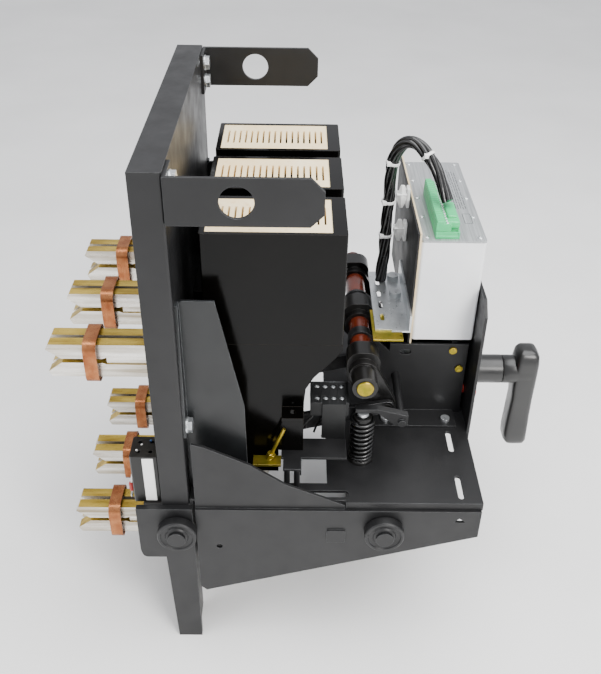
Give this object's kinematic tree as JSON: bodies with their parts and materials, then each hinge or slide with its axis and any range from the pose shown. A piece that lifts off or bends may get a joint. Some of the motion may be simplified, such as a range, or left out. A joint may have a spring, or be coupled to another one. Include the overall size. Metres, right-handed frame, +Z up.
{
  "type": "drawout low-voltage power circuit breaker",
  "caption": "Three-pole drawout power circuit breaker with finger clusters, arc chutes, a trip unit, rollers and a manual charging handle.",
  "frame": {"origin": "mid width and mid length, at the bottom of the legs", "axes": "+X to the operator's right, -Y towards the operator, +Y towards the primary disconnects, +Z up"},
  "size_m": [0.379, 0.5227, 0.56],
  "materials": {
    "black_paint": "worn satin black paint",
    "zinc_steel": "zinc-plated steel",
    "yellow_chromate": "yellow chromate plated steel",
    "black_fibre": "black insulating sheet",
    "black_moulding": "black moulded resin with a brown cast",
    "cream_insulation": "cream ceramic and fibre board",
    "red_brown_tube": "red-brown insulating tube",
    "dark_steel": "dark oiled steel",
    "silvered_copper": "silver-plated copper, tarnished",
    "copper_band": "copper-coloured band",
    "black_plastic": "black plastic",
    "red_plastic": "red plastic",
    "white_case": "white painted case",
    "grey_cover": "light grey cover",
    "green_plastic": "green plastic",
    "black_wrap": "black wrapped loom"
  },
  "bodies": {
    "frame": {"arc_chute_a": "black_moulding", "arc_chute_b": "black_moulding", "arc_chute_c": "black_moulding", "chute_grids": "cream_insulation", "closing_spring": "black_plastic", "crossbar_bearings": "dark_steel", "current_transformers": "black_moulding", "finger_bands": "copper_band", "fixed_contacts": "silvered_copper", "frame_bolts": "zinc_steel", "front_plate": "black_paint", "harness": "black_wrap", "lifting_ears": "black_paint", "lower_fingers": "silvered_copper", "lower_studs": "silvered_copper", "mechanism_plates": "black_paint", "mechanism_rivets": "yellow_chromate", "mounting_board": "cream_insulation", "platform": "black_paint", "pole_bases": "black_moulding", "pole_feet": "black_paint", "rear_panel": "black_paint", "roller_pins": "zinc_steel", "secondary_block": "black_moulding", "shelf_bracket": "zinc_steel", "shelf_clip": "yellow_chromate", "side_barriers": "black_fibre", "side_brackets": "black_paint", "side_plates": "black_paint", "splitter_plates": "dark_steel", "spring_housing": "black_paint", "stay_rod": "yellow_chromate", "stud_insulators": "black_moulding", "terminal_block": "black_plastic", "terminal_header": "green_plastic", "terminal_plug": "green_plastic", "tie_mounts": "black_plastic", "trip_actuator": "black_plastic", "trip_unit_case": "white_case", "trip_unit_cover": "grey_cover", "upper_fingers": "silvered_copper", "upper_studs": "silvered_copper"},
    "crossbar": {"crossbar_shaft": "yellow_chromate", "crossbar_sleeves": "red_brown_tube", "crossbar_hubs": "black_moulding"},
    "links": {"drive_links": "dark_steel"},
    "contact_arms": {"moving_contacts": "silvered_copper", "contact_pins": "dark_steel"},
    "handle": {"handle_shaft": "dark_steel", "handle_grip": "black_moulding", "charging_cam": "zinc_steel"},
    "charging_rod": {"push_rod": "zinc_steel"},
    "trip_shaft": {"trip_bar": "dark_steel"},
    "button": {"trip_button": "red_plastic"},
    "plunger": {"actuator_plunger": "zinc_steel"},
    "roller_front_left": {"roller_front_left": "dark_steel"},
    "roller_front_right": {"roller_front_right": "dark_steel"},
    "roller_rear_left": {"roller_rear_left": "dark_steel"},
    "roller_rear_right": {"roller_rear_right": "dark_steel"}
  },
  "joints": [
    {"name": "crossbar_turn", "type": "hinge", "parent": "frame", "child": "crossbar", "pos_m": [0.0225, -0.0505, 0.305], "axis": [1, 0, 0], "range_deg": [0, 40]},
    {"name": "link_swing", "type": "hinge", "parent": "crossbar", "child": "links", "pos_m": [0, -0.0764, 0.2682], "axis": [1, 0, 0], "range_deg": [-33, 0]},
    {"name": "contact_swing", "type": "hinge", "parent": "frame", "child": "contact_arms", "pos_m": [0, 0.0735, 0.135], "axis": [1, 0, 0], "range_deg": [-17, 0]},
    {"name": "handle_turn", "type": "hinge", "parent": "frame", "child": "handle", "pos_m": [0.014, -0.1045, 0.24], "axis": [0, 1, 0], "range_deg": [0, 120]},
    {"name": "charging_slide", "type": "slide", "parent": "frame", "child": "charging_rod", "axis": [0, 0, -1], "range_m": [0, 0.012], "stiffness_N_per_m": 2000, "deforming": ["closing_spring"]},
    {"name": "trip_turn", "type": "hinge", "parent": "frame", "child": "trip_shaft", "pos_m": [-0.0275, -0.0905, 0.262], "axis": [1, 0, 0], "range_deg": [0, 8]},
    {"name": "button_slide", "type": "slide", "parent": "frame", "child": "button", "axis": [0, 1, 0], "range_m": [0, 0.0036], "stiffness_N_per_m": 150, "springref_m": -0.002},
    {"name": "plunger_slide", "type": "slide", "parent": "frame", "child": "plunger", "axis": [0, 0, 1], "range_m": [0, 0.0053]},
    {"name": "roller_front_left_turn", "type": "hinge", "parent": "frame", "child": "roller_front_left", "pos_m": [-0.181, -0.0725, 0.175], "axis": [1, 0, 0], "continuous": true},
    {"name": "roller_front_right_turn", "type": "hinge", "parent": "frame", "child": "roller_front_right", "pos_m": [0.181, -0.0725, 0.175], "axis": [1, 0, 0], "continuous": true},
    {"name": "roller_rear_left_turn", "type": "hinge", "parent": "frame", "child": "roller_rear_left", "pos_m": [-0.181, 0.137, 0.172], "axis": [1, 0, 0], "continuous": true},
    {"name": "roller_rear_right_turn", "type": "hinge", "parent": "frame", "child": "roller_rear_right", "pos_m": [0.181, 0.137, 0.172], "axis": [1, 0, 0], "continuous": true}
  ],
  "couplings": [
    {"joint": "charging_slide", "follows": "handle_turn", "m_per_rad": 0.00572},
    {"joint": "link_swing", "follows": "crossbar_turn", "ratio": -0.816},
    {"joint": "contact_swing", "follows": "crossbar_turn", "ratio": -0.4184},
    {"joint": "trip_turn", "follows": "button_slide", "rad_per_m": 38.5},
    {"joint": "plunger_slide", "follows": "button_slide", "ratio": 1.46}
  ]
}
